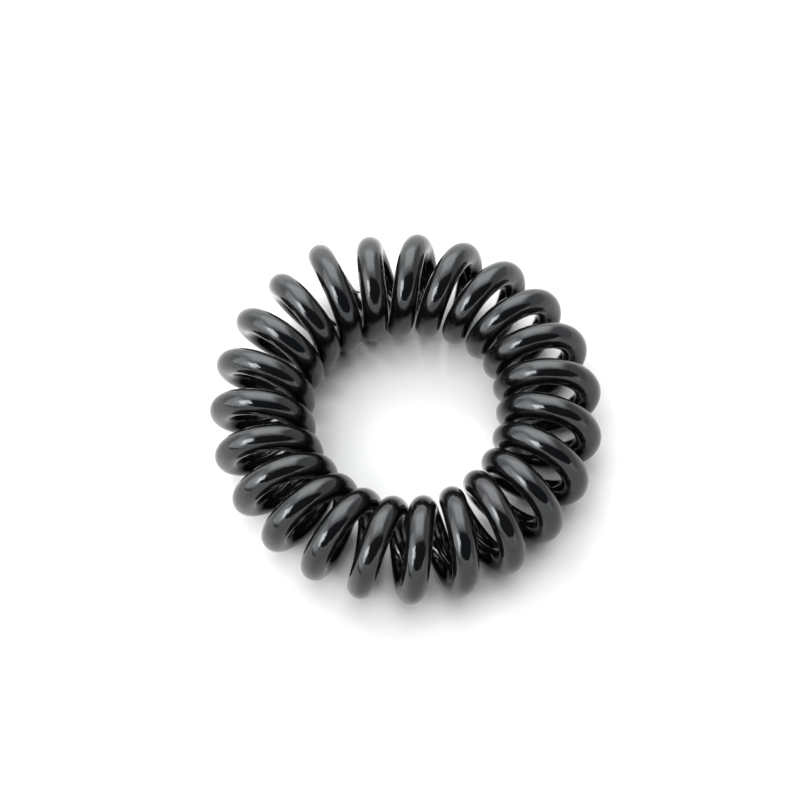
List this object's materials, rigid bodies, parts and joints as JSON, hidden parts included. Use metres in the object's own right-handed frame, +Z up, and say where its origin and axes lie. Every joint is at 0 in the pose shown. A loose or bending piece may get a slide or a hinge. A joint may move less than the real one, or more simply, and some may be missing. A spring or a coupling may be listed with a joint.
{
  "type": "spiral hair tie",
  "caption": "Soft ring for tying hair: a round glossy cord coiled into a spiral and welded end to end, lying flat with an open hole in the middle.",
  "frame": {"origin": "on the surface that the ring lies on, under the middle of its outer box", "axes": "+Z up along the ring's axis, +X to the right in the picture, +Y away from the viewer"},
  "size_m": [0.0528, 0.0526, 0.0155],
  "materials": {
    "soft_cord": "glossy black soft plastic"
  },
  "bodies": {
    "root": {"spiral_cord": "soft_cord"}
  },
  "joints": []
}
